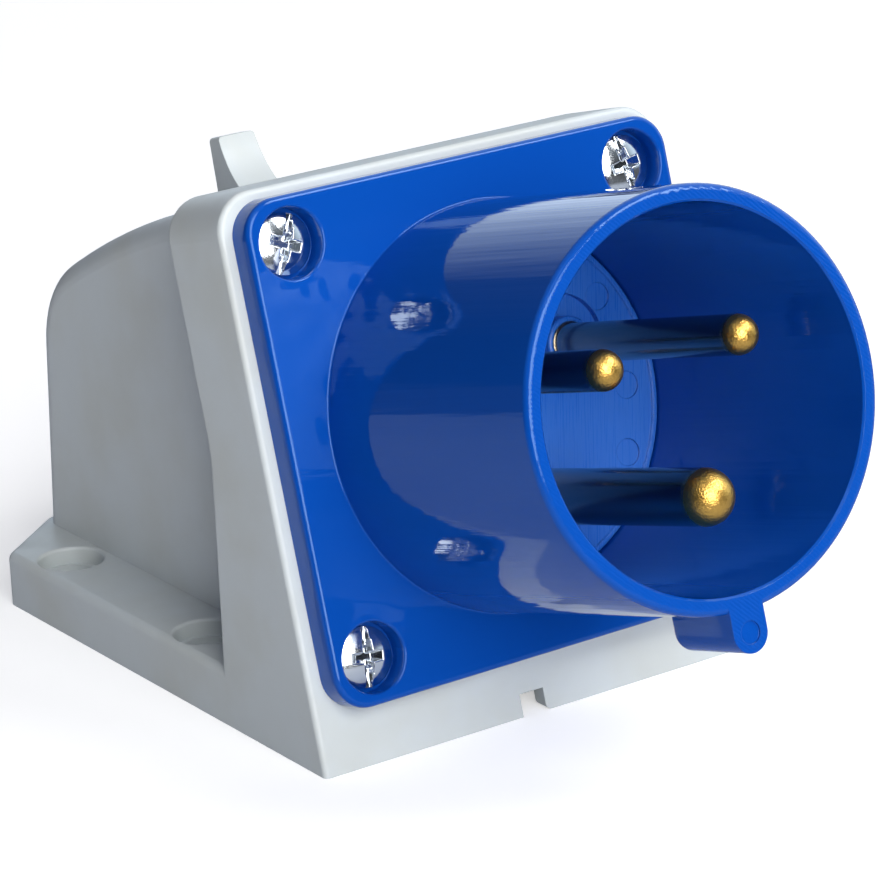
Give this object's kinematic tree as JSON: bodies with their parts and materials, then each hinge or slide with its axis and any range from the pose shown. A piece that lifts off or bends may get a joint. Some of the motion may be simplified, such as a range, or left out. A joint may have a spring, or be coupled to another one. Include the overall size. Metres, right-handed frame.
{
  "type": "pin and sleeve inlet",
  "caption": "Surface-mounting pin and sleeve power inlet: a blue shrouded three-pin unit screwed to the sloping face of a grey wall box.",
  "frame": {"origin": "centre of the four wall holes on the base plane", "axes": "+Z away from the wall, +Y to the rear of the box, +X to the right seen from the front; the pins point to -Y and upwards by 15 degrees"},
  "size_m": [0.0674, 0.1357, 0.0742],
  "materials": {
    "grey_moulding": "satin moulded light grey",
    "blue_moulding": "gloss moulded blue",
    "insulator": "satin moulded blue",
    "retainer_moulding": "satin moulded black",
    "turned_brass": "turned",
    "zinc_plated_steel": "bright zinc plated",
    "spring_steel": "rolled",
    "seal_rubber": "matte",
    "grommet_rubber": "matte grey"
  },
  "bodies": {
    "root": {"housing": "grey_moulding", "face_gasket": "seal_rubber", "inlet_shroud": "blue_moulding", "carrier_seal": "seal_rubber", "pin_carrier": "insulator", "pin_retainer": "retainer_moulding", "cover_screws": "zinc_plated_steel", "retainer_screws": "zinc_plated_steel", "entry_grommet": "grommet_rubber", "earth_pin": "turned_brass", "earth_terminal_screws": "zinc_plated_steel", "earth_wire_guard": "spring_steel", "live_pin": "turned_brass", "live_terminal_screws": "zinc_plated_steel", "live_wire_guard": "spring_steel", "neutral_pin": "turned_brass", "neutral_terminal_screws": "zinc_plated_steel", "neutral_wire_guard": "spring_steel"}
  },
  "joints": []
}
